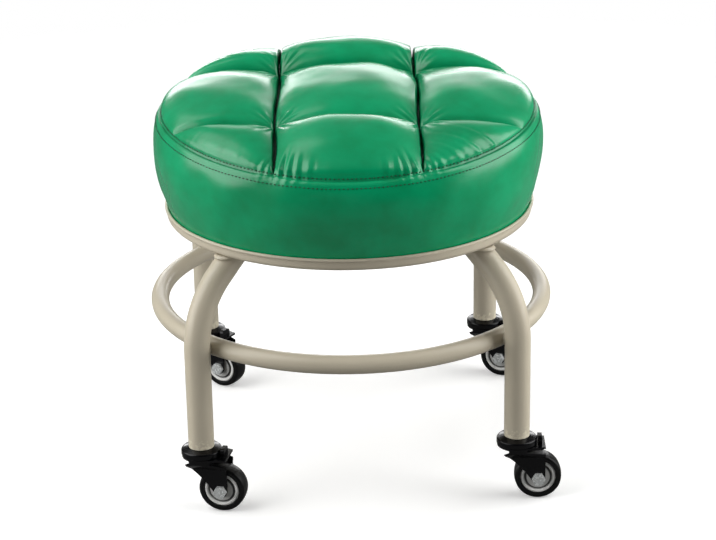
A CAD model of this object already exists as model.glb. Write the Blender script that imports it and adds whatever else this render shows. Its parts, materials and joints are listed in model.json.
import json
import math

import bpy
import numpy as np
from mathutils import Matrix, Vector
from mathutils.bvhtree import BVHTree


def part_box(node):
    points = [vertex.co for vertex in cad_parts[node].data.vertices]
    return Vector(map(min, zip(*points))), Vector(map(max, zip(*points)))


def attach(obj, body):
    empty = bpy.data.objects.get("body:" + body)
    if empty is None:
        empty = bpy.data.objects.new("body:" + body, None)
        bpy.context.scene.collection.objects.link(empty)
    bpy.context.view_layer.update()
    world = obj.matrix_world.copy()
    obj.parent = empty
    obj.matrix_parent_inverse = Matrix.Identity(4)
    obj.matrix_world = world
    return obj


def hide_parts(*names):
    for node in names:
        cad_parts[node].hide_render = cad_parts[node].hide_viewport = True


bl_info = {
    "name": "Tufted Creeper Seat",
    "version": (1, 0, 0),
    "blender": (4, 5, 0),
    "location": "View3D > Sidebar > Creeper Seat",
    "description": "Cushion, stitching, finishes and studio for a rolling creeper seat",
    "category": "Object",
}

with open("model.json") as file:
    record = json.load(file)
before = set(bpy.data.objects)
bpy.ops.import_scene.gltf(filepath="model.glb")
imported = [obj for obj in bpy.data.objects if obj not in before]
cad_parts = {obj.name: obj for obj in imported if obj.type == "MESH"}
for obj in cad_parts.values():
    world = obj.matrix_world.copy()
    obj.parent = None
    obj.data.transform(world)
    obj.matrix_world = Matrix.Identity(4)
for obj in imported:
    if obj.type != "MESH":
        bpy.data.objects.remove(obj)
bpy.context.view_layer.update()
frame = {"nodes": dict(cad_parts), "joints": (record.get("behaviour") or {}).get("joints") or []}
CORNERS = ("front_left", "front_right", "back_left", "back_right")
FRAME_TUBES = ("foot_ring",) + tuple("leg_" + c for c in CORNERS)

BOARD_LOW, BOARD_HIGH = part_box("seat_board")
PAN_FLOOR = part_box("seat_cover")[0].z
LEG_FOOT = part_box("leg_front_left")[0].z
HUB_GROOVE = 0.0110  # radius of the ring groove in the wheel hubs


def length(name, text, default):
    """A size property in metres."""
    return bpy.props.FloatProperty(name=name, description=text, default=default,
                                   unit="LENGTH", subtype="DISTANCE", precision=4)


def share(name, text, default):
    """A plain number between zero and one."""
    return bpy.props.FloatProperty(name=name, description=text, default=default,
                                   min=0.0, max=1.0, subtype="FACTOR")


def linear(code):
    """An sRGB hex code as the linear colour that a shader socket holds."""
    parts = [int(code.lstrip("#")[i:i + 2], 16) / 255 for i in (0, 2, 4)]
    return tuple(p / 12.92 if p <= 0.04045 else ((p + 0.055) / 1.055) ** 2.4 for p in parts)


def colour(name, text, code):
    """A colour property whose default is an sRGB hex code."""
    return bpy.props.FloatVectorProperty(name=name, description=text, default=linear(code),
                                         min=0.0, max=1.0, size=3, subtype="COLOR")


class CushionSizes(bpy.types.PropertyGroup):
    """Sizes of the cushion's form and of its relief"""
    seam_radius: length("Seam radius", "Radius of the seam round the top panel", 0.1645)
    seam_rise: length("Seam rise", "Height of that seam above the pan's floor", 0.0845)
    back_lift: length("Back lift", "Rise of the seam from the front to the back", 0.014)
    side_lift: length("Side lift", "Rise of the seam towards the sides", 0.008)
    bulge_radius: length("Bulge radius", "Largest radius of the side band", 0.1715)
    bulge_rise: length("Bulge rise", "Height of that radius above the pan's floor", 0.060)
    hem_radius: length("Hem radius", "Radius at which the band meets the pan", 0.1607)
    hem_rise: length("Hem rise", "Rounding where the band turns under the board", 0.004)
    hem_inner: length("Hem inner radius", "Radius of the cover's cut edge under the board", 0.130)
    quilt_crown: length("Quilt crown", "Rise of the quilting lines to the middle", 0.0115)
    slit_spacing: length("Slit spacing", "Distance between the two deep slits", 0.123)
    valley_spacing: length("Valley spacing", "Distance between the two cross valleys", 0.143)
    valley_share: share("Valley share", "Height that a cross valley keeps", 0.30)
    mid_puff: length("Middle puffs", "Height of the middle column's puffs", 0.027)
    back_mid_puff: length("Back middle puff", "Height of the middle column's back puff", 0.034)
    side_puff: length("Side puffs", "Height of the two side puffs", 0.0215)
    front_puff: length("Front puffs", "Height of the front corner puffs", 0.0175)
    back_puff: length("Back puffs", "Height of the back corner puffs", 0.0305)
    slackness: share("Slackness", "Height of the puffs before they are blown up", 0.93)
    pressure: bpy.props.FloatProperty(
        name="Pressure", description="Pressure of the foam on the cover", default=4.0, min=0.0)
    swell_cap: length("Swell cap", "The furthest that a point may move as the cover swells", 0.006)
    quilt_turn: bpy.props.FloatProperty(
        name="Quilt turn", description="Turn of the cushion on the pan",
        default=math.radians(2.3), subtype="ANGLE")
    pinch: length("Pinch", "Depth of the notch where a slit meets the seam", 0.0015)
    waver: length("Waver", "How far the quilting lines stray from straight", 0.0009)
    slit_depth: length("Slit depth", "Extra depth of the narrow dark line in a slit", 0.004)
    valley_depth: length("Valley depth", "Extra depth of the crease between two puffs", 0.004)
    gather: length("Gathers", "Height of the gathers beside the slit ends", 0.0016)
    corner_crease: length("Corner creases", "Height of the creases on a corner puff", 0.0009)
    star_fold: length("Star folds", "Height of the folds round a crossing of two lines", 0.0006)
    pucker: length("Puckers", "Height of the small puckers along the seam", 0.00007)
    dent: length("Dents", "Height of the broad unevenness of the foam", 0.0005)
    seam_groove: length("Seam groove", "Depth of the sewn seam between panel and band", 0.0010)
    seam_ridge: length("Seam ridge", "Thickness of the turned edges under the band row", 0.00015)


class StitchSizes(bpy.types.PropertyGroup):
    """Sizes of the two sewn rows"""
    pitch: length("Pitch", "Distance from one stitch to the next", 0.0036)
    stitch: length("Stitch", "Length of the thread that shows in one stitch", 0.0020)
    thread: length("Thread", "Thickness of the sewing thread", 0.00100)
    panel_row: length("Panel row", "Distance of the row on the panel from the seam", 0.0016)
    band_row: length("Band row", "Distance of the row on the band below the seam", 0.0068)


class Finishes(bpy.types.PropertyGroup):
    """Colours of the finishes"""
    vinyl: colour("Vinyl", "Lit colour of the glossy vinyl leathercloth", "#009F68")
    vinyl_deep: colour("Vinyl shade", "Colour of the vinyl where dye lies thicker", "#00814D")
    thread: colour("Thread", "Colour of the sewing thread", "#04351F")
    powder: colour("Powder coat", "Colour of the powder-coated frame", "#C0B7A3")
    black: colour("Black coat", "Colour of the black coat on the caster forks", "#050507")
    zinc: colour("Zinc", "Colour of bright zinc plate", "#DDE0DF")
    hub: colour("Hub", "Colour of the moulded wheel hub", "#F0F0EC")
    tyre: colour("Tyre", "Colour of the polyurethane tyre", "#060606")
    plywood: colour("Plywood", "Colour of the birch face of the seat board", "#C69C6D")


class StageLook(bpy.types.PropertyGroup):
    """The floor and the camera"""
    floor: colour("Floor", "Colour of the studio floor", "#F4F4F3")
    lens: bpy.props.FloatProperty(name="Lens", description="Focal length of the camera",
                                  default=107.65, unit="CAMERA")
    camera_place: bpy.props.FloatVectorProperty(
        name="Camera place", description="Where the camera stands", size=3,
        default=(-0.0669, -1.8077, 0.8494), unit="LENGTH", subtype="TRANSLATION")


# Materials

# The colour sockets of a Mix node go by number: its other kinds have sockets of the same name
FIRST, SECOND, MIXED = 6, 7, 2
# The part of a noise's range that its values mostly keep to
NOISE_LOW, NOISE_HIGH = 0.3, 0.7


def link(tree, source, socket):
    """Links an output to an input. A whole node stands for its first output."""
    tree.links.new(getattr(source, "outputs", (source,))[0], socket)


def add_node(tree, kind, links=None, sockets=None, **settings):
    """Adds one node, sets its properties and sockets, and links its inputs."""
    node = tree.nodes.new(kind)
    for key, value in settings.items():
        setattr(node, key, value)
    for key, value in (sockets or {}).items():
        node.inputs[key].default_value = value
    for key, source in (links or {}).items():
        link(tree, source, node.inputs[key])
    return node


def patches(size, detail=2.0, rough=0.5):
    """The sockets of a noise whose patches are about this many metres across."""
    return {"Scale": 1 / size, "Detail": detail, "Roughness": rough}


def span(low, high, first=0.0, last=1.0):
    """The sockets of a range that goes from first to last as its value goes from low to high."""
    return {"From Min": low, "From Max": high, "To Min": first, "To Max": last}


def lay_out(tree):
    """Sets a finished tree's nodes out in columns, with its output at the right."""
    columns = {next(node.name for node in tree.nodes if not node.outputs): 0}
    queue = list(columns)
    for name in queue:
        for wire in tree.links:
            source = wire.from_node.name
            if wire.to_node.name == name and columns.get(source, 0) <= columns[name]:
                columns[source] = columns[name] + 1
                queue.append(source)
    filled = {}
    for name, column in columns.items():
        filled[column] = filled.get(column, 0) + 1
        tree.nodes[name].location = (-260 * column, -300 * filled[column])


def tone(base, factor=1.0):
    """A linear colour with its alpha, lighter or darker by a factor."""
    return tuple(min(1.0, c * factor) for c in base[:3]) + (1.0,)


def bare_tree(owner):
    """The node tree of a material or a world, emptied."""
    owner.use_nodes = True
    owner.node_tree.nodes.clear()
    return owner.node_tree


def new_material(name, base, **shader):
    """A material with its Principled shader, and object coordinates to draw its patterns on."""
    mat = bpy.data.materials.new(name)
    mat.diffuse_color = tone(base)
    tree = bare_tree(mat)
    sockets = {key.replace("_", " "): value for key, value in shader.items()}
    surface = add_node(tree, "ShaderNodeBsdfPrincipled", sockets=sockets)
    surface.inputs["Base Color"].default_value = tone(base)
    add_node(tree, "ShaderNodeOutputMaterial", {"Surface": surface})
    place = add_node(tree, "ShaderNodeTexCoord")
    return mat, tree, surface, place.outputs["Object"]


def mottled(tree, place, size, tones, cut=(0.0, 1.0), most=1.0, detail=2.0, rough=0.5):
    """A noise with patches of a size, and two tones that follow it. The cut is the part of the
    noise's range over which the first tone gives way to the second, and most is how much of that
    shows."""
    noise = add_node(tree, "ShaderNodeTexNoise", {"Vector": place}, patches(size, detail, rough))
    part = add_node(tree, "ShaderNodeMapRange", {"Value": noise}, span(*cut, 0.0, most))
    tint = add_node(tree, "ShaderNodeMix", {"Factor": part}, dict(zip((FIRST, SECOND), tones)),
                    data_type="RGBA")
    return noise, tint.outputs[MIXED]


def finished(mat, surface, tint, sheen=None, reliefs=(), edge=None):
    """Links a material's patterns to its shader and hands the material back. The sheen is a pattern
    and the roughness at its two ends, each relief is a pattern and its height, and the edge is the
    radius that the light rounds sharp edges by."""
    tree = mat.node_tree
    link(tree, tint, surface.inputs["Base Color"])
    if sheen:
        pattern, smooth_end, dull_end = sheen
        rough = add_node(tree, "ShaderNodeMapRange", {"Value": pattern},
                         span(NOISE_LOW, NOISE_HIGH, smooth_end, dull_end))
        link(tree, rough, surface.inputs["Roughness"])
    under = {}
    if edge:
        under = {"Normal": add_node(tree, "ShaderNodeBevel", sockets={"Radius": edge}, samples=4)}
    for pattern, height in reliefs:
        under = {"Normal": add_node(tree, "ShaderNodeBump", {"Height": pattern, **under},
                                    {"Strength": 1.0, "Distance": height})}
    link(tree, under["Normal"], surface.inputs["Normal"])
    lay_out(tree)
    return mat


def glossy_vinyl(look):
    """Calendered PVC leathercloth with a clear top coat: soft broad glints over fine pressed
    grain, and a cloudy depth of colour where the dye lies thicker. Its sewn creases are dark with
    shade and grime, which the crease attribute marks. The 1.1 mm grain is the real size of such a
    print."""
    mat, tree, surface, place = new_material(
        "glossy_pvc_leathercloth", look.vinyl, Roughness=0.36, IOR=1.5,
        Specular_IOR_Level=0.0, Coat_Weight=1.0, Coat_Roughness=0.26, Coat_IOR=1.58)
    dyed = mottled(tree, place, 0.040, (tone(look.vinyl), tone(look.vinyl_deep)), cut=(0.36, 0.66),
                   most=0.6, detail=4.0, rough=0.6)[1]
    crease = add_node(tree, "ShaderNodeAttribute", attribute_name="crease")
    shaded = add_node(tree, "ShaderNodeMix", {"Factor": crease.outputs["Fac"], FIRST: dyed},
                      {SECOND: tone(look.vinyl_deep, 0.10)}, data_type="RGBA")
    smudge = add_node(tree, "ShaderNodeTexNoise", {"Vector": place}, patches(0.018, 3.0, 0.6))
    grain = add_node(tree, "ShaderNodeTexVoronoi", {"Vector": place},
                     {"Scale": 1 / 0.0011, "Smoothness": 0.6}, feature="SMOOTH_F1")
    slack = add_node(tree, "ShaderNodeTexNoise", {"Vector": place}, patches(0.012, 2.0))
    return finished(mat, surface, shaded.outputs[MIXED], (smudge, 0.30, 0.42),
                    ((grain, 0.00003), (slack, 0.00015)))


def bonded_thread(look):
    """Bonded polyester sewing thread, darker than the vinyl, with its twist as fine ridges. The
    real 0.3 mm twist is drawn at 0.4 mm so that it shows."""
    mat, tree, surface, place = new_material("bonded_polyester_thread", look.thread, Roughness=0.55)
    twist, plied = mottled(tree, place, 0.0004, (tone(look.thread, 0.7), tone(look.thread, 1.3)),
                           detail=1.0)
    return finished(mat, surface, plied, reliefs=((twist, 0.0001),))


def powder_coat(look):
    """Satin polyester powder coat on steel: an even taupe with faint 2 mm orange peel, softened
    edges, and pale chips at the foot of each leg where the caster has knocked it."""
    mat, tree, surface, place = new_material("satin_powder_coat", look.powder,
                                             Roughness=0.34, IOR=1.5)
    coat = mottled(tree, place, 0.090, (tone(look.powder, 0.96), tone(look.powder, 1.05)),
                   cut=(0.35, 0.65))[1]
    height = add_node(tree, "ShaderNodeSeparateXYZ", {"Vector": place})
    foot = add_node(tree, "ShaderNodeMapRange", {"Value": height.outputs["Z"]},
                    span(LEG_FOOT, LEG_FOOT + 0.020, 0.70, 0.30))
    knocks = add_node(tree, "ShaderNodeTexNoise", {"Vector": place}, patches(0.0035, 4.0, 0.6))
    over = add_node(tree, "ShaderNodeMath", {0: knocks, 1: foot}, operation="ADD")
    chips = add_node(tree, "ShaderNodeMapRange", {"Value": over}, span(1.10, 1.20, 0.0, 0.8))
    worn = add_node(tree, "ShaderNodeMix", {"Factor": chips, FIRST: coat},
                    {SECOND: tone(linear("#DDD6BF"))}, data_type="RGBA")
    peel = add_node(tree, "ShaderNodeTexNoise", {"Vector": place}, patches(0.0022, 2.0))
    return finished(mat, surface, worn.outputs[MIXED], (peel, 0.29, 0.38),
                    ((peel, 0.00012),), edge=0.0006)


def black_coat(look):
    """Gloss black e-coat on pressed steel: nearly a mirror on the flats, greyer where it is rubbed,
    with 1.6 mm peel."""
    mat, tree, surface, place = new_material("gloss_black_e_coat", look.black,
                                             Roughness=0.22, IOR=1.5, Specular_IOR_Level=0.3)
    rub, coat = mottled(tree, place, 0.006, (tone(look.black), tone(look.black, 3.0)),
                        cut=(0.55, 0.75), most=0.25, detail=4.0, rough=0.6)
    peel = add_node(tree, "ShaderNodeTexNoise", {"Vector": place}, patches(0.0016, 2.0))
    return finished(mat, surface, coat, (rub, 0.14, 0.26), ((peel, 0.00005),), edge=0.0005)


def bright_zinc(look):
    """Bright zinc plate under a milky passivated film, on bolts, nuts and washers: pale and half a
    mirror, with fine turning marks, drawn at 0.6 mm so that they show."""
    mat, tree, surface, place = new_material("bright_zinc_plate", look.zinc,
                                             Metallic=0.45, Roughness=0.26)
    spangle, film = mottled(tree, place, 0.0025, (tone(look.zinc, 0.85), tone(look.zinc, 1.15)),
                            detail=3.0, rough=0.6)
    marks = add_node(tree, "ShaderNodeTexNoise", {"Vector": place}, patches(0.0006, 1.0))
    return finished(mat, surface, film, (spangle, 0.18, 0.34), ((marks, 0.00003),), edge=0.0003)


def bearing_steel(look):
    """Hardened and polished steel of the race balls, with a trace of grease."""
    mat, tree, surface, place = new_material("polished_bearing_steel", tone(look.zinc, 0.8),
                                             Metallic=1.0, Roughness=0.14)
    grease = add_node(tree, "ShaderNodeTexNoise", {"Vector": place}, patches(0.003, 2.0))
    rough = add_node(tree, "ShaderNodeMapRange", {"Value": grease}, span(0.4, 0.7, 0.10, 0.30))
    link(tree, rough, surface.inputs["Roughness"])
    lay_out(tree)
    return mat


def moulded_plastic(name, base, rough=0.45, wheel=None):
    """Moulded plastic with a 0.8 mm spark-eroded texture and a faint 10 mm flow pattern."""
    mat, tree, surface, place = new_material(name, base, Roughness=rough, IOR=1.46)
    body = mottled(tree, place, 0.010, (tone(base, 0.90), tone(base, 1.06)),
                   detail=3.0, rough=0.55)[1]
    if wheel:
        body = hub_shade(tree, place, body, base, wheel)
    spark = add_node(tree, "ShaderNodeTexNoise", {"Vector": place}, patches(0.0008, 2.0, 0.6))
    return finished(mat, surface, body, (spark, rough - 0.06, rough + 0.08),
                    ((spark, 0.00005),), edge=0.0004)


def hub_shade(tree, place, body, base, wheel):
    """Shades a wheel's hub about its axle: the boss is greyer than the rim, and the ring groove
    between them is dark with grease and dust."""
    middle = add_node(tree, "ShaderNodeVectorMath", {0: place}, {1: wheel["pos_m"]},
                      operation="SUBTRACT")
    across = add_node(tree, "ShaderNodeVectorMath", {0: middle}, {1: wheel["axis"]},
                      operation="CROSS_PRODUCT")
    reach = add_node(tree, "ShaderNodeVectorMath", {0: across}, operation="LENGTH")
    boss = add_node(tree, "ShaderNodeMapRange", {"Value": reach.outputs["Value"]},
                    span(0.0102, 0.0106, 0.75, 0.0))
    grey = add_node(tree, "ShaderNodeMix", {"Factor": boss, FIRST: body},
                    {SECOND: tone(base, 0.45)}, data_type="RGBA")
    off = add_node(tree, "ShaderNodeMath", {0: reach.outputs["Value"]}, {1: HUB_GROOVE},
                   operation="SUBTRACT")
    near = add_node(tree, "ShaderNodeMath", {0: off}, operation="ABSOLUTE")
    groove = add_node(tree, "ShaderNodeMapRange", {"Value": near}, span(0.0007, 0.0012, 0.92, 0.0))
    grimy = add_node(tree, "ShaderNodeMix", {"Factor": groove, FIRST: grey.outputs[MIXED]},
                     {SECOND: tone(linear("#161616"))}, data_type="RGBA")
    return grimy.outputs[MIXED]


def tyre_rubber(look):
    """Cast polyurethane tyre: near-black satin, with 4 mm patches of dust where it has rolled."""
    mat, tree, surface, place = new_material("cast_polyurethane_tyre", look.tyre,
                                             Roughness=0.38, IOR=1.5, Specular_IOR_Level=0.35)
    dust, tread = mottled(tree, place, 0.004, (tone(look.tyre), tone(look.tyre, 2.5)),
                          cut=(0.45, 0.75), most=0.4, detail=4.0, rough=0.65)
    return finished(mat, surface, tread, (dust, 0.26, 0.42), ((dust, 0.00008),), edge=0.0006)


def birch_plywood(look):
    """Birch plywood of the hidden seat board, with 4 mm grain bands running front to back."""
    mat, tree, surface, place = new_material("birch_plywood", look.plywood, Roughness=0.6)
    stretch = add_node(tree, "ShaderNodeMapping", {"Vector": place}, {"Scale": (1.0, 0.12, 8.0)})
    tones = tone(look.plywood, 0.72), tone(look.plywood, 1.1)
    rings, grain = mottled(tree, stretch, 0.004, tones, detail=4.0, rough=0.6)
    return finished(mat, surface, grain, reliefs=((rings, 0.0001),))


# Cushion

# The band reaches its fullest radius at this share of its way down, and ends this far above its hem
BAND_FULLEST = 0.25
HEM_TUCK = 0.0055
# The net's lines bunch between here and the seam, and this much across and along
NET_EDGE = 0.955
BUNCH_ACROSS, BUNCH_ALONG = 0.72, 0.35
# Profiles of a puff's lip, of its arc across and along, of the fall to the seam, and of the crown
LIP, ARC, ROW, FALL, CROWN = (2.0, 2.0), (2.0, 1.4), (2.1, 2.1), (3.8, 2.0), (2.3, 2.1)
# The lip of a puff at a slit rises over this distance, and keeps this share of its height by the
# front and the back puffs
LIP_REACH = 0.0022
LIP_FRONT, LIP_BACK = 0.26, 0.66
# Widths of the lines drawn in between the puffs, and the pitch of the stitches in the slits
SLIT_WIDTH, VALLEY_WIDTH, SLIT_PITCH = 0.0012, 0.0036, 0.0042
# Strength and width of the grime in a slit: its core, and the paler edge round it
SLIT_GRIME = (0.65, 0.0010), (0.25, 0.0050)
# Places of the gathers along the seam from a slit's end: towards the middle puffs, and away
GATHERS_IN = (0.0055, 0.0125, 0.0205, 0.0300)
GATHERS_OUT = (0.0050, 0.0110)
# How far the first gather reaches in, and how much shorter each next one is
GATHER_REACH, GATHER_SHORTER = 0.014, 0.002
# Way round from the front and strength of each corner puff's creases, which lie this far apart
CORNER_CREASES = (38, 1.0), (-44, 0.12), (140, 0.6), (-138, 0.6)
CREASE_STEP = math.radians(6.5)
# Width of a gather and of a crease, and the share, distance and width of the hollow beside it
GATHER_CRIMP, CREASE_CRIMP = (0.0019, 0.6, 0.0036, 0.0016), (0.0026, 0.7, 0.0048, 0.0022)
# Numbers of rays in the folds round a crossing, and the radius and width of the ring they fill
STAR_RAYS, STAR_RING = (17, 11), (0.015, 0.009)
# Place in from the seam and width of its groove, of the turned edges and the second row's dimple
# on the band, and of the turned edge on the panel
SEAM_MARKS = (0.0, 0.0011), (-0.0038, 0.0024), (-0.0068, 0.0009), (0.003, 0.0016)
# Sizes of the puckers and of the longer waves they come and go in, and of the two kinds of dents
PUCKER_SIZES, DENT_SIZES = (0.0075, 0.05), (0.055, 0.024)
# The seeds of the stitch rows stand this far off the seam, before they are set on the surface
SEED_LIFT = 0.0015
SEED_OUT, SEED_DOWN = 1.014, 0.93
# How fine the nets are: lines across, lines along, and steps down the band, between their breaks
FINE_NET = (9, 51, 88, 51, 9), (9, 51, 102, 51, 9), (22, 28)
CLOTH_NET = (3, 17, 29, 17, 3), (3, 17, 28, 17, 3), (6, 9)
CLOTH_FRAMES = 20
CLOTH_SETTINGS = {"quality": 6, "mass": 0.4, "tension_stiffness": 18, "compression_stiffness": 18,
                  "shear_stiffness": 8, "bending_stiffness": 1.2, "air_damping": 2,
                  "use_pressure": True, "vertex_group_mass": "sewn"}


def swell(t, top, end):
    """Profile of a puff from its sewn edge (0) to its crest (1)."""
    return np.maximum(0, 1 - (1 - np.minimum(1, t)) ** top) ** (1 / end)


def net_lines(line, counts, bunch):
    """The net's lines from rim to rim, bunched towards the rims, their edges and the sewn lines."""
    breaks = (-1, -NET_EDGE, -line, line, NET_EDGE, 1)
    lines = []
    for a, b, n in zip(breaks[:-1], breaks[1:], counts):
        t = np.arange(n) / n
        t = (1 - bunch) * t + bunch * (1 - np.cos(math.pi * t)) / 2
        lines.extend(a + (b - a) * t)
    return np.array(lines + [breaks[-1]])


class CushionForm:
    """The quilted top and the bulging band, as functions of a square net (u, v) on the panel."""

    def __init__(self, s, full=1.0):
        self.s = s
        self.full = full
        x = s.slit_spacing / (2 * s.seam_radius)
        self.slit_u = x / math.sqrt(1 - x * x)
        self.scale = 1 / math.sqrt(1 + self.slit_u ** 2)
        self.valley_v = s.valley_spacing / (2 * s.seam_radius) / self.scale
        self.unit = s.seam_radius * self.scale

    def place(self, u, v):
        """Plan position of a net point. The net is square in the middle, and a disc at its rim."""
        s = self.s
        m = np.maximum(np.abs(u), np.abs(v))
        spread = self.scale / (1 - m ** 6 + (self.scale * np.hypot(u, v)) ** 6) ** (1 / 6)
        pinch = np.exp(-(((np.abs(u) - self.slit_u) / 0.06) ** 2)) * np.abs(v) ** 12
        k = spread * (s.seam_radius - s.pinch * pinch)
        calm = s.waver * (1 - m ** 4)
        return u * k + calm * np.sin(6.0 * v + 0.7), v * k + calm * np.sin(6.5 * u - 0.4)

    def seam_rise(self, x, y):
        """Height of the seam, which rises to the back and a little to the sides."""
        s = self.s
        return (s.seam_rise + s.back_lift * y / (2 * s.seam_radius)
                + s.side_lift * (x / s.seam_radius) ** 2)

    def inward(self, t, line):
        """Way from a sewn line (0) to the crest of the puff beside it (1)."""
        t = np.abs(t)
        return np.where(t <= line, 1 - t / line, np.minimum(1, 2 * (t - line) / (1 - line)))

    def across(self, u, lip):
        """Share of a puff's height across the slits: a steep lip at the slit, then a soft arc."""
        near = np.abs(np.abs(u) - self.slit_u) * self.unit
        arc = swell(self.inward(u, self.slit_u), *ARC)
        return lip * swell(near / LIP_REACH, *LIP) + (1 - lip) * arc

    def top(self, u, v):
        """Height of the panel above the pan's floor. Also marks how dark each crease is."""
        s = self.s
        x, y = self.place(u, v)
        inset = 1 - np.minimum(1, np.hypot(x, y) / s.seam_radius)
        keep = s.valley_share * (1 - np.abs(v) ** 4)
        row = keep + (1 - keep) * swell(self.inward(v, self.valley_v), *ROW)
        middle = np.where(v > self.valley_v, s.back_mid_puff, s.mid_puff)
        corner = np.where(v < 0, s.front_puff, s.back_puff)
        beside = np.where(np.abs(v) <= self.valley_v, s.side_puff, corner)
        high = np.where(np.abs(u) <= self.slit_u, middle, beside)
        slit_off = (np.abs(u) - self.slit_u) * self.unit
        valley_off = (np.abs(v) - self.valley_v) * self.unit
        fall = swell(inset, *FALL)
        back = np.clip((v - self.valley_v) / 0.12, 0, 1)
        across = self.across(u, LIP_FRONT + (LIP_BACK - LIP_FRONT) * back)
        slit_line = fold(slit_off, SLIT_WIDTH) * np.minimum(1, inset / 0.04)
        dimples = 1 + 0.09 * np.cos(2 * math.pi * v * self.unit / SLIT_PITCH)
        valley_line = fold(valley_off, VALLEY_WIDTH) * across * fall
        grime = sum(strength * fold(slit_off, width) for strength, width in SLIT_GRIME)
        self.crease = np.clip(grime * np.minimum(1, inset / 0.03) + 0.35 * valley_line ** 2, 0, 1)
        return (self.seam_rise(x, y) + s.quilt_crown * swell(inset, *CROWN)
                + self.full * high * across * row * fall
                - s.slit_depth * slit_line * dimples - s.valley_depth * valley_line)

    def band(self, x, y, t):
        """A point of the band under the seam point (x, y), from that (t = 0) to the hem (1)."""
        s = self.s
        r0 = np.hypot(x, y)
        upper = np.minimum(t / BAND_FULLEST, 1) * math.pi / 2
        lower = np.clip((t - BAND_FULLEST) / (1 - BAND_FULLEST), 0, 1)
        r_up = r0 + (s.bulge_radius - r0) * np.sin(upper)
        z_up = s.bulge_rise + (self.seam_rise(x, y) - s.bulge_rise) * np.cos(upper)
        r_low = s.hem_radius + (s.bulge_radius - s.hem_radius) * np.cos(lower * math.pi / 2)
        z_low = s.bulge_rise + (s.hem_rise + HEM_TUCK - s.bulge_rise) * lower
        r = np.where(t <= BAND_FULLEST, r_up, r_low)
        z = np.where(t <= BAND_FULLEST, z_up, z_low)
        return x / r0 * r, y / r0 * r, z


def rim_of(grid):
    """The outer points of a square grid, once round, anticlockwise from the front left corner."""
    return np.concatenate([grid[0, :-1], grid[:-1, -1], grid[-1, :0:-1], grid[:0:-1, 0]])


def ripples(points, size, seed, count=14):
    """Smooth unevenness between -1 and 1 with bumps of about size, the same on every run."""
    pick = np.random.RandomState(seed)
    total = np.zeros(len(points))
    for _ in range(count):
        way = pick.normal(size=points.shape[1])
        way *= 2 * math.pi / size * pick.uniform(0.6, 1.5) / np.linalg.norm(way)
        total += np.sin(points @ way + pick.uniform(0, 2 * math.pi))
    return total / math.sqrt(count)


def fold(offset, width):
    """One soft fold across offset zero."""
    return np.exp(-(offset / width) ** 2)


def crimp(offset, width, hollow, away, narrow):
    """A fold with a narrower hollow beside it, some way off."""
    return fold(offset, width) - hollow * fold(offset - away, narrow)


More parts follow.
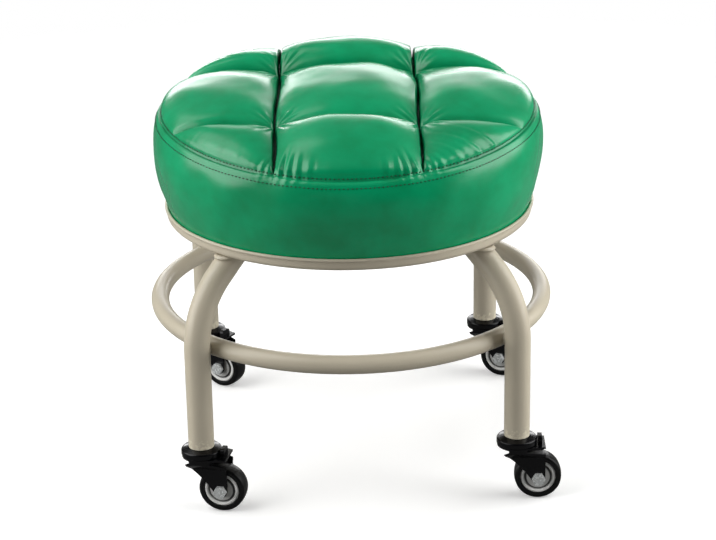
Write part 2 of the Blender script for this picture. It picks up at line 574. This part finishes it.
class Relief:
    """Gathers, creases, folds and the seam, as heights along the surface's normal."""

    def __init__(self, s):
        self.s = s
        self.slit_x = s.slit_spacing / 2
        self.slit_turn = math.asin(self.slit_x / s.seam_radius)

    def along(self, turn, start, side):
        """Distance along the seam from a slit's end, measured away from it on one side."""
        off = (turn - start + math.pi) % (2 * math.pi) - math.pi
        return off * self.s.seam_radius * side

    def gathers(self, turn, depth):
        """Short gathers where a slit draws the panel and the band together."""
        total = np.zeros(len(turn))
        pick = np.random.RandomState(7)
        near, far = self.slit_turn, math.pi - self.slit_turn
        for start in (near, -near, far, math.pi + near):
            inner = -math.copysign(1, math.sin(start) * math.cos(start))
            for side, steps, high in ((inner, GATHERS_IN, 1.0), (-inner, GATHERS_OUT, 0.6)):
                off = self.along(turn, start, side)
                for k, place in enumerate(steps):
                    reach = (GATHER_REACH - GATHER_SHORTER * k) * pick.uniform(0.85, 1.2)
                    lean = pick.uniform(-0.15, 0.15) * np.abs(depth)
                    part = high * (1 - 0.16 * k) * pick.uniform(0.8, 1.1)
                    gone = np.where(depth < 0, 0.45 * fade(depth, 0.45 * reach), fade(depth, reach))
                    total += part * crimp(off - place - lean, *GATHER_CRIMP) * gone
        return self.s.gather * total

    def corner_creases(self, turn, depth):
        """Longer creases that run from the seam into a corner puff, most on the front right one."""
        total = np.zeros(len(turn))
        for degrees, high in CORNER_CREASES:
            centre = math.radians(degrees)
            pick = np.random.RandomState(int(100 * abs(centre)))
            for k in range(4):
                off = self.along(turn, centre + CREASE_STEP * (k - 1.5), 1.0)
                lean = (0.25 + 0.35 * pick.uniform()) * np.maximum(depth, 0)
                reach = 0.020 + 0.014 * pick.uniform()
                total += (high * pick.uniform(0.6, 1.0) * crimp(off + lean, *CREASE_CRIMP)
                          * fade(depth, reach))
        return self.s.corner_crease * total * (depth >= 0)

    def star_folds(self, x, y, inset):
        """Small folds that fan out from the crossings of the slits and the valleys."""
        total = np.zeros(len(x))
        valley_y = self.s.valley_spacing / 2
        (many, few), (ring, width) = STAR_RAYS, STAR_RING
        pick = np.random.RandomState(3)
        for cx in (-self.slit_x, self.slit_x):
            for cy in (-valley_y, valley_y):
                off = np.hypot(x - cx, y - cy)
                turn = np.arctan2(y - cy, x - cx)
                phase = pick.uniform(0, 6)
                rays = np.cos(many * turn + phase) + 0.5 * np.cos(few * turn - phase)
                total += rays * fold(off - ring, width) * np.abs(np.sin(2 * turn)) ** 0.7
        return self.s.star_fold * total * np.minimum(1, inset / 0.012)

    def seam(self, depth):
        """The sewn groove, and on the band the turned edges and the dimple of the second row."""
        s = self.s
        groove, edges, dimple, inner = (fold(depth - place, width) for place, width in SEAM_MARKS)
        band = s.seam_ridge * edges - 0.8 * s.seam_ridge * dimple
        return np.where(depth < 0, band, 0.4 * s.seam_ridge * inner) - s.seam_groove * groove

    def height(self, x, y, z, turn, depth):
        """Height of the relief. Depth is the distance in from the seam, negative down the band."""
        s = self.s
        near = np.exp(-np.abs(depth) / 0.009)
        arc = np.stack([np.cos(turn), np.sin(turn)], -1) * s.seam_radius
        fine, long = (ripples(arc, size, 11 + k) for k, size in enumerate(PUCKER_SIZES))
        puckers = s.pucker * fine * near * (1 + 0.6 * long)
        puckers *= np.where(depth < 0, 0.3, 1.0)
        body = np.stack([x, y, z], -1)
        broad, small = (ripples(body, size, 21 + k) for k, size in enumerate(DENT_SIZES))
        dents = s.dent * (broad + 0.12 * small) * np.minimum(1, np.abs(depth) / 0.02)
        return (self.gathers(turn, depth) + self.corner_creases(turn, depth) + puckers + dents
                + self.seam(depth) + np.where(depth > 0, self.star_folds(x, y, np.abs(depth)), 0))


def fade(depth, reach):
    """Full beside the seam, and gone at about twice the reach."""
    return np.exp(-(np.abs(depth) / reach) ** 2) * np.minimum(1, (np.abs(depth) + 0.0006) / 0.002)


class CushionNet:
    """A net of quads over the closed skin of the cushion: quilted top, band, turned-in hem and
    the hollow that the board fills. The counts set how fine it is, and full scales the height of
    the puffs."""

    def __init__(self, s, across, along, steps, full=1.0):
        self.form = form = CushionForm(s, full)
        self.us = net_lines(form.slit_u, across, BUNCH_ACROSS)
        self.vs = net_lines(form.valley_v, along, BUNCH_ALONG)
        u, v = np.meshgrid(self.us, self.vs)
        x, y = form.place(u, v)
        index = np.arange(u.size).reshape(u.shape)
        self.rim = rim = rim_of(index)
        self.steps = np.concatenate([np.linspace(0, BAND_FULLEST, steps[0] + 1)[1:],
                                     np.linspace(BAND_FULLEST, 1, steps[1] + 1)[1:]])
        n = len(rim)
        rx, ry = rim_of(x), rim_of(y)
        points = [np.stack([x, y, form.top(u, v)], -1).reshape(-1, 3)]
        depths = [s.seam_radius - np.hypot(x, y).ravel()]
        walked = np.zeros(n)
        last = points[0][rim]
        for t in self.steps:
            loop = np.stack(form.band(rx, ry, np.full(n, t)), -1)
            walked = walked + np.linalg.norm(loop - last, axis=1)
            last = loop
            points.append(loop)
            depths.append(-walked)
        self.shown = sum(len(p) for p in points)
        unit = np.stack([rx, ry], -1) / np.hypot(rx, ry)[:, None]
        board_z = BOARD_HIGH.z - PAN_FLOOR + 0.0001
        cover_z = BOARD_LOW.z - PAN_FLOOR - 0.0001
        hole_r = BOARD_HIGH.x + 0.0003
        for r, h in ((s.hem_radius, s.hem_rise), (s.hem_radius - 0.0012, 0.0012),
                     (s.hem_radius - 0.004, 0.0), (s.hem_inner, 0.0), (s.hem_inner, cover_z),
                     (hole_r, cover_z), (hole_r, board_z), (0.080, board_z)):
            points.append(np.column_stack([unit * r, np.full(n, h)]))
        self.verts = np.concatenate(points + [np.array([[0, 0, board_z]])])
        self.verts[:, 2] += PAN_FLOOR
        corners = index[:-1, :-1], index[:-1, 1:], index[1:, 1:], index[1:, :-1]
        faces = [np.stack(corners, -1).reshape(-1, 4)]
        first = rim
        for k in range(len(points) - 1):
            second = np.arange(u.size + k * n, u.size + (k + 1) * n)
            faces.append(np.stack([first, second, np.roll(second, -1), np.roll(first, -1)], -1))
            first = second
        self.quads = np.concatenate(faces)
        middle = len(self.verts) - 1
        self.caps = [(int(a), middle, int(b)) for a, b in zip(first, np.roll(first, -1))]
        self.depth = np.concatenate(depths)
        self.crease = np.zeros(len(self.verts))
        self.crease[:u.size] = form.crease.ravel()
        self.crease[:self.shown] += 0.20 * fold(self.depth, 0.0006)
        self.u, self.v = u, v

    def mesh(self, name):
        """The net as a closed mesh."""
        mesh = bpy.data.meshes.new(name)
        mesh.from_pydata(self.verts.tolist(), [], self.quads.tolist() + self.caps)
        mesh.update()
        return mesh

    def round_rim(self):
        """Place of each rim point on the way once round the square net, from 0 to 8."""
        u, v = rim_of(self.u), rim_of(self.v)
        near = 1 - 1e-9
        back = np.where(v >= near, 5 - u, 7 - v)
        return np.where(v <= -near, u + 1, np.where(u >= near, v + 3, back)) % 8

    def take(self, other, moves):
        """Moves of another, coarser net's points, read off at this net's points."""
        size = other.u.size
        grid = moves[:size].reshape(*other.u.shape, 3)
        wide = read_off(other.us, grid, self.us)
        top = read_off(other.vs, wide.swapaxes(0, 1), self.vs).swapaxes(0, 1)
        loops = np.concatenate([moves[other.rim][None],
                                moves[size:other.shown].reshape(len(other.steps), -1, 3)])
        known = other.round_rim()
        order = np.argsort(known)
        loops = read_off(known[order], loops[:, order], self.round_rim(), period=8)
        known = np.concatenate([[0], other.steps])
        band = read_off(known, loops.swapaxes(0, 1), self.steps).swapaxes(0, 1)
        return np.concatenate([top.reshape(-1, 3), band.reshape(-1, 3)])


def read_off(known, rows, wanted, **period):
    """Rows of vectors that are known at some places, read off between them at the wanted ones."""
    return np.stack([np.stack([np.interp(wanted, known, row[:, k], **period) for k in range(3)], -1)
                     for row in rows])


def smooth(values, quads, count, rounds):
    """Averages values over neighbouring points, again and again."""
    pairs = np.concatenate([quads[:, [k, (k + 1) % 4]] for k in range(4)])
    pairs = pairs[(pairs < count).all(axis=1)].T
    for _ in range(rounds):
        total, weight = values.copy(), np.ones(count)
        for here, there in (pairs, pairs[::-1]):
            np.add.at(total, here, values[there])
            np.add.at(weight, here, 1)
        values = total / weight[:, None]
    return values


def inflate(s, fine):
    """Blows up a slacker cushion as cloth, held along its seams, and returns how far each point of
    the fine net moves. The moves are capped, so that the form of the frame's own solid stays."""
    rest = CushionNet(s, *CLOTH_NET)
    slack = CushionNet(s, *CLOTH_NET, full=s.slackness)
    obj = linked("cloth_blank", slack.mesh("cloth_blank"))
    held = np.ones(len(slack.verts))
    slit = np.abs(np.abs(rest.u) - rest.form.slit_u).ravel() < 0.024
    valley = np.abs(np.abs(rest.v) - rest.form.valley_v).ravel() < 0.012
    edge = (np.maximum(np.abs(rest.u), np.abs(rest.v)) > 0.999).ravel()
    held[:rest.u.size] = np.where(slit | edge, 1.0, np.where(valley, 0.9, 0.0))
    down = np.repeat(rest.steps, len(rest.rim))
    held[rest.u.size:rest.shown] = np.clip((down - 0.6) / 0.3, 0.0, 1.0)
    pins = obj.vertex_groups.new(name="sewn")
    for weight in np.unique(held):
        pins.add(np.flatnonzero(held == weight).tolist(), float(weight), "REPLACE")
    cloth = obj.modifiers.new("cloth", "CLOTH")
    for key, value in CLOTH_SETTINGS.items():
        setattr(cloth.settings, key, value)
    cloth.settings.uniform_pressure_force = s.pressure
    cloth.settings.effector_weights.gravity = 0
    cloth.collision_settings.use_collision = False
    cloth.collision_settings.use_self_collision = False
    cloth.point_cache.frame_start = 1
    cloth.point_cache.frame_end = CLOTH_FRAMES
    scene = bpy.context.scene
    for step in range(1, CLOTH_FRAMES + 1):
        scene.frame_set(step)
    graph = bpy.context.evaluated_depsgraph_get()
    blown = obj.evaluated_get(graph).data
    now = np.empty(len(blown.vertices) * 3)
    blown.vertices.foreach_get("co", now)
    bpy.data.objects.remove(obj)
    scene.frame_set(1)
    moves = now.reshape(-1, 3) - rest.verts
    far = np.linalg.norm(moves, axis=1)
    print("cloth moves, mm: mean %.2f, most %.2f" % (far.mean() * 1000, far.max() * 1000))
    moves *= (np.minimum(far, s.swell_cap) / np.maximum(far, 1e-9))[:, None]
    return smooth(fine.take(rest, moves), fine.quads, fine.shown, 5)


def cushion_mesh(s):
    """The quilted cushion: the blown-up net with its gathers, creases, folds and sewn seam."""
    net = CushionNet(s, *FINE_NET)
    net.verts[:net.shown] += inflate(s, net)
    part = net.verts[:net.shown]
    turn = np.arctan2(part[:, 0], -part[:, 1])
    high = Relief(s).height(part[:, 0], part[:, 1], part[:, 2], turn, net.depth)
    low_end = np.clip((part[:, 2] - PAN_FLOOR - 0.014) / 0.012, 0, 1)
    normals = normals_of(net.verts, net.quads)[:net.shown]
    net.verts[:net.shown] += normals * (high * low_end)[:, None]
    net.verts = turned(net.verts, s.quilt_turn)
    mesh = net.mesh("quilted_cushion")
    crease = mesh.attributes.new("crease", "FLOAT", "POINT")
    crease.data.foreach_set("value", np.clip(net.crease, 0, 1))
    return mesh


def turned(points, angle):
    """Points turned about the upright axis, clockwise from above."""
    c, n = math.cos(angle), math.sin(angle)
    return points @ np.array([[c, -n, 0], [n, c, 0], [0, 0, 1]])


def normals_of(verts, quads):
    """Outward unit normals at the vertices of a mesh of quads."""
    a, b, c, d = (verts[quads[:, k]] for k in range(4))
    across = np.cross(c - a, d - b)
    total = np.zeros_like(verts)
    for k in range(4):
        np.add.at(total, quads[:, k], across)
    return total / np.maximum(np.linalg.norm(total, axis=1), 1e-12)[:, None]


def linked(name, data):
    """A new object in the scene."""
    obj = bpy.data.objects.new(name, data)
    bpy.context.scene.collection.objects.link(obj)
    return obj


def add_object(name, mesh, material):
    """Links a mesh into the scene as one smooth object with one material."""
    obj = linked(name, mesh)
    mesh.materials.clear()
    mesh.materials.append(material)
    for polygon in mesh.polygons:
        polygon.use_smooth = True
    return obj


class CREEPER_OT_cushion(bpy.types.Operator):
    """Build the quilted vinyl cushion over the board and the pan"""
    bl_idname = "creeper.cushion"
    bl_label = "Quilted cushion"

    def execute(self, context):
        scene = context.scene
        mesh = cushion_mesh(scene.creeper_cushion)
        cushion = add_object("quilted_cushion", mesh, glossy_vinyl(scene.creeper_finishes))
        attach(cushion, "frame")
        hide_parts("seat_cover", "foam_pad")
        return {"FINISHED"}


def stitch_tree():
    """Geometry nodes that set stitches along a path, leaning with its lean attribute."""
    tree = bpy.data.node_groups.new("stitch_row", "GeometryNodeTree")
    tree.interface.new_socket("Path", in_out="INPUT", socket_type="NodeSocketGeometry")
    for name in ("Pitch", "Stitch", "Thread", "Lift"):
        tree.interface.new_socket(name, in_out="INPUT", socket_type="NodeSocketFloat")
    tree.interface.new_socket("Finish", in_out="INPUT", socket_type="NodeSocketMaterial")
    tree.interface.new_socket("Stitches", in_out="OUTPUT", socket_type="NodeSocketGeometry")
    given = add_node(tree, "NodeGroupInput").outputs
    curve = add_node(tree, "GeometryNodeMeshToCurve", {"Mesh": given["Path"]})
    spaced = add_node(tree, "GeometryNodeResampleCurve",
                      {"Curve": curve, "Length": given["Pitch"]}, mode="LENGTH")
    lean = add_node(tree, "GeometryNodeInputNamedAttribute", data_type="FLOAT_VECTOR",
                    sockets={"Name": "lean"})
    tangent = add_node(tree, "GeometryNodeInputTangent")
    run = add_node(tree, "FunctionNodeAlignRotationToVector", {"Vector": tangent}, axis="X")
    stand = add_node(tree, "FunctionNodeAlignRotationToVector", {"Rotation": run, "Vector": lean},
                     axis="Z", pivot_axis="X")
    bead = add_node(tree, "GeometryNodeMeshUVSphere",
                    sockets={"Segments": 8, "Rings": 5, "Radius": 0.5})
    size = add_node(tree, "ShaderNodeCombineXYZ",
                    {"X": given["Stitch"], "Y": given["Thread"], "Z": given["Thread"]})
    raised = add_node(tree, "ShaderNodeCombineXYZ", {"Z": given["Lift"]})
    thread = add_node(tree, "GeometryNodeTransform",
                      {"Geometry": bead, "Scale": size, "Translation": raised})
    placed = add_node(tree, "GeometryNodeInstanceOnPoints",
                      {"Points": spaced, "Instance": thread, "Rotation": stand})
    real = add_node(tree, "GeometryNodeRealizeInstances", {"Geometry": placed})
    sewn = add_node(tree, "GeometryNodeSetMaterial",
                    {"Geometry": real, "Material": given["Finish"]})
    add_node(tree, "NodeGroupOutput", {"Stitches": sewn})
    lay_out(tree)
    return tree


def path_on(surface, seeds):
    """A closed path on a surface, through the points nearest to the seeds, with its lean."""
    found = [surface.find_nearest(Vector(p)) for p in seeds]
    mesh = bpy.data.meshes.new("stitch_path")
    count = len(found)
    mesh.from_pydata([f[0] for f in found], [(i, (i + 1) % count) for i in range(count)], [])
    lean = mesh.attributes.new("lean", "FLOAT_VECTOR", "POINT")
    lean.data.foreach_set("vector", [c for f in found for c in f[1]])
    return mesh


def grow(name, base, tree, values):
    """Runs a node tree on a base mesh and returns its result as a plain mesh."""
    obj = linked(name, base)
    modifier = obj.modifiers.new(name, "NODES")
    modifier.node_group = tree
    for item in tree.interface.items_tree:
        if item.in_out == "INPUT" and item.name in values:
            modifier[item.identifier] = values[item.name]
    graph = bpy.context.evaluated_depsgraph_get()
    mesh = bpy.data.meshes.new_from_object(obj.evaluated_get(graph), depsgraph=graph)
    bpy.data.objects.remove(obj)
    mesh.name = name
    return mesh


class CREEPER_OT_stitching(bpy.types.Operator):
    """Sew the two rows of stitches along the seam of the cushion"""
    bl_idname = "creeper.stitching"
    bl_label = "Stitching"

    def execute(self, context):
        scene = context.scene
        s, sewn = scene.creeper_cushion, scene.creeper_stitches
        cushion = bpy.data.objects["quilted_cushion"]
        surface = BVHTree.FromPolygons([v.co for v in cushion.data.vertices],
                                       [p.vertices for p in cushion.data.polygons])
        form = CushionForm(s)
        turns = np.linspace(0, 2 * math.pi, 720, endpoint=False)
        rx, ry = s.seam_radius * np.cos(turns), s.seam_radius * np.sin(turns)
        tree = stitch_tree()
        thread = bonded_thread(scene.creeper_finishes)
        rise = form.seam_rise(rx, ry) + PAN_FLOOR
        inside = 1 - sewn.panel_row / s.seam_radius
        low = rise - sewn.band_row * SEED_DOWN
        rows = {"panel_stitches": np.stack([rx * inside, ry * inside, rise + SEED_LIFT], -1),
                "band_stitches": np.stack([rx * SEED_OUT, ry * SEED_OUT, low], -1)}
        for name, seeds in rows.items():
            mesh = grow(name, path_on(surface, turned(seeds, s.quilt_turn)), tree, {
                "Pitch": sewn.pitch, "Stitch": sewn.stitch, "Thread": sewn.thread,
                "Lift": 0.25 * sewn.thread, "Finish": thread})
            row = add_object(name, mesh, thread)
            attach(row, "frame")
        return {"FINISHED"}


class CREEPER_OT_frame_finish(bpy.types.Operator):
    """Put the powder coat on the pan, the legs and the foot ring"""
    bl_idname = "creeper.frame_finish"
    bl_label = "Frame finish"

    def execute(self, context):
        look = context.scene.creeper_finishes
        coat = powder_coat(look)
        for name in ("seat_pan",) + FRAME_TUBES:
            paint(name, coat)
        paint("seat_board", birch_plywood(look))
        return {"FINISHED"}


class CREEPER_OT_caster_finish(bpy.types.Operator):
    """Put the finishes on the casters, wheels and fasteners"""
    bl_idname = "creeper.caster_finish"
    bl_label = "Caster finishes"

    def execute(self, context):
        look = context.scene.creeper_finishes
        black = black_coat(look)
        zinc = bright_zinc(look)
        steel = bearing_steel(look)
        insert = moulded_plastic("black_nylon_insert", linear("#1A1A1B"))
        bush = moulded_plastic("natural_acetal_bush", linear("#D9D6CC"), 0.35)
        tyre = tyre_rubber(look)
        for name in ("tee_nuts", "seat_bolts", "seat_washers"):
            paint(name, zinc)
        kinds = {"stem_insert_": insert, "caster_stem_": zinc, "caster_hood_": black,
                 "race_balls_": steel, "fork_": black, "axle_bolt_": zinc, "axle_nut_": zinc,
                 "axle_sleeve_": zinc, "wheel_bush_": bush, "tyre_": tyre}
        for corner in CORNERS:
            for kind, material in kinds.items():
                paint(kind + corner, material)
            wheel = next(j for j in frame["joints"] if j["name"] == "spin_" + corner)
            paint("wheel_hub_" + corner,
                  moulded_plastic("white_polypropylene_hub_" + corner, look.hub, 0.40, wheel))
        return {"FINISHED"}


def paint(node, material):
    """Gives a CAD node its finish."""
    mesh = frame["nodes"][node].data
    mesh.materials.clear()
    mesh.materials.append(material)


# Name, place, width, height and watts of each lamp, and whether it shows in glints
LAMPS = (
    ("back_softbox", (0.2, 2.3, 0.55), 2.2, 0.36, 15.0, True),
    ("back_wash", (0.2, 2.2, 1.0), 1.3, 0.55, 2.8, True),
    ("left_wash", (-0.85, 0.75, 1.75), 1.0, 0.9, 3.4, True),
    ("left_softbox", (-1.45, -0.25, 1.10), 1.7, 2.3, 34.0, True),
    ("right_softbox", (1.5, 0.0, 1.10), 1.5, 2.0, 28.0, True),
    ("left_fill", (-2.0, -0.8, 0.25), 1.2, 0.8, 11.0, False),
    ("right_fill", (2.0, -0.6, 0.25), 1.2, 0.8, 25.0, False),
    ("front_fill", (-0.4, -2.3, 0.2), 1.6, 0.4, 3.0, False),
    ("top_fill", (-0.2, 0.3, 2.4), 2.4, 2.4, 6.0, False),
    ("front_glint", (-0.1, -0.9, 2.0), 1.8, 1.3, 0.4, True))
LAMP_AIM = Vector((0, 0, 0.2))
# Directions of the camera's axes, fitted to the photograph
CAMERA_RIGHT = Vector((0.99877, -0.04685, -0.01627))
CAMERA_UP = Vector((0.03182, 0.35384, 0.93476))
CAMERA_AHEAD = Vector((0.03804, 0.93412, -0.35489))


class CREEPER_OT_stage(bpy.types.Operator):
    """Set up the floor, the lamps, the world and the camera"""
    bl_idname = "creeper.stage"
    bl_label = "Studio"

    def execute(self, context):
        scene = context.scene
        look = scene.creeper_stage
        floor_disc(look)
        soft_world(scene)
        for lamp in LAMPS:
            soft_lamp(*lamp)
        camera(scene, look)
        scene.view_settings.view_transform = "Standard"
        return {"FINISHED"}


def floor_disc(look):
    """A pale round floor."""
    rings, spokes, radius = 12, 64, 3.0
    verts = [(0.0, 0.0, 0.0)]
    for k in range(1, rings + 1):
        r = radius * k / rings
        verts += [(r * math.cos(a), r * math.sin(a), 0.0)
                  for a in (2 * math.pi * i / spokes for i in range(spokes))]
    faces = [(0, 1 + i, 1 + (i + 1) % spokes) for i in range(spokes)]
    for k in range(rings - 1):
        a, b = 1 + k * spokes, 1 + (k + 1) * spokes
        faces += [(a + i, b + i, b + (i + 1) % spokes, a + (i + 1) % spokes) for i in range(spokes)]
    mesh = bpy.data.meshes.new("studio_floor")
    mesh.from_pydata(verts, [], faces)
    add_object("studio_floor", mesh, white_paper(look))


def white_paper(look):
    """Seamless white paper that fades into the backdrop at its edge. The camera sees it pale, and
    it throws little light back on the seat."""
    mat = bpy.data.materials.new("seamless_white_paper")
    tree = bare_tree(mat)
    place = add_node(tree, "ShaderNodeTexCoord").outputs["Object"]
    reach = add_node(tree, "ShaderNodeVectorMath", {0: place}, operation="LENGTH")
    away = add_node(tree, "ShaderNodeMapRange", {"Value": reach.outputs["Value"]}, span(0.45, 1.6))
    ray = add_node(tree, "ShaderNodeLightPath").outputs
    gloss = add_node(tree, "ShaderNodeMath", {0: ray["Is Glossy Ray"]}, {1: 0.10},
                     operation="MULTIPLY")
    seen = add_node(tree, "ShaderNodeMath", {0: gloss, 1: ray["Is Camera Ray"]}, operation="ADD")
    tint = add_node(tree, "ShaderNodeMix", {"Factor": seen},
                    {FIRST: tone(look.floor, 0.14), SECOND: tone(look.floor)}, data_type="RGBA")
    paper = add_node(tree, "ShaderNodeBsdfDiffuse", {"Color": tint.outputs[MIXED]})
    glow = add_node(tree, "ShaderNodeMath", {0: ray["Is Camera Ray"]}, {1: 0.28},
                    operation="MULTIPLY")
    lit = add_node(tree, "ShaderNodeEmission", {"Strength": glow})
    sheet = add_node(tree, "ShaderNodeAddShader", {0: paper, 1: lit})
    clear = add_node(tree, "ShaderNodeBsdfTransparent")
    both = add_node(tree, "ShaderNodeMixShader", {0: away, 1: sheet, 2: clear})
    add_node(tree, "ShaderNodeOutputMaterial", {"Surface": both})
    lay_out(tree)
    return mat


def soft_world(scene):
    """A soft world, brighter on the backdrop's side, that is plain white where it is seen."""
    world = bpy.data.worlds.new("white_studio")
    scene.world = world
    tree = bare_tree(world)
    ray = add_node(tree, "ShaderNodeLightPath").outputs
    seen = add_node(tree, "ShaderNodeMath",
                    {0: ray["Is Camera Ray"], 1: ray["Is Transmission Ray"]}, operation="MAXIMUM")
    way = add_node(tree, "ShaderNodeTexCoord")
    split = add_node(tree, "ShaderNodeSeparateXYZ", {"Vector": way.outputs["Generated"]})
    level = add_node(tree, "ShaderNodeMapRange", {"Value": split.outputs["Y"]},
                     span(-0.6, 0.9, 0.02, 0.14))
    soft = add_node(tree, "ShaderNodeBackground", {"Strength": level}, {"Color": (1, 1, 1, 1)})
    white = add_node(tree, "ShaderNodeBackground", sockets={"Color": (1, 1, 1, 1), "Strength": 1.0})
    both = add_node(tree, "ShaderNodeMixShader", {0: seen, 1: soft, 2: white})
    add_node(tree, "ShaderNodeOutputWorld", {"Surface": both})
    lay_out(tree)


def soft_lamp(name, place, wide, high, watts, glints):
    """A rectangular softbox that faces the seat. One without glints only fills the shade."""
    lamp = bpy.data.lights.new(name, "AREA")
    lamp.shape = "RECTANGLE"
    lamp.size = wide
    lamp.size_y = high
    lamp.energy = watts
    obj = linked(name, lamp)
    obj.visible_glossy = glints
    obj.location = place
    obj.rotation_euler = (LAMP_AIM - Vector(place)).to_track_quat("-Z", "Y").to_euler()


def camera(scene, look):
    """The camera of the photograph: slightly to the left, looking down on the seat."""
    data = bpy.data.cameras.new("view_camera")
    data.sensor_width = 36.0
    data.lens = look.lens
    obj = linked("view_camera", data)
    turn = Matrix((CAMERA_RIGHT, CAMERA_UP, -CAMERA_AHEAD)).transposed().to_4x4()
    obj.matrix_world = Matrix.Translation(look.camera_place) @ turn
    scene.camera = obj


class CREEPER_PT_panel(bpy.types.Panel):
    """Sizes, finishes and the operators that build the dressed seat"""
    bl_idname = "CREEPER_PT_panel"
    bl_label = "Creeper Seat"
    bl_space_type = "VIEW_3D"
    bl_region_type = "UI"
    bl_category = "Creeper Seat"

    def draw(self, context):
        for name in GROUPS:
            group = getattr(context.scene, name)
            box = self.layout.box()
            box.label(text=name.removeprefix("creeper_").capitalize())
            for key in group.__annotations__:
                box.prop(group, key)
        for operator in OPERATORS:
            self.layout.operator(operator.bl_idname)


GROUPS = {"creeper_cushion": CushionSizes, "creeper_stitches": StitchSizes,
          "creeper_finishes": Finishes, "creeper_stage": StageLook}
OPERATORS = (CREEPER_OT_stage, CREEPER_OT_cushion, CREEPER_OT_stitching, CREEPER_OT_frame_finish,
             CREEPER_OT_caster_finish)


def register():
    for name, group in GROUPS.items():
        bpy.utils.register_class(group)
        setattr(bpy.types.Scene, name, bpy.props.PointerProperty(type=group))
    for operator in OPERATORS:
        bpy.utils.register_class(operator)
    bpy.utils.register_class(CREEPER_PT_panel)


def unregister():
    bpy.utils.unregister_class(CREEPER_PT_panel)
    for operator in reversed(OPERATORS):
        bpy.utils.unregister_class(operator)
    for name, group in reversed(list(GROUPS.items())):
        delattr(bpy.types.Scene, name)
        bpy.utils.unregister_class(group)


def main():
    register()
    for operator in OPERATORS:
        group, name = operator.bl_idname.split(".")
        getattr(getattr(bpy.ops, group), name)()


if __name__ == "__main__":
    main()
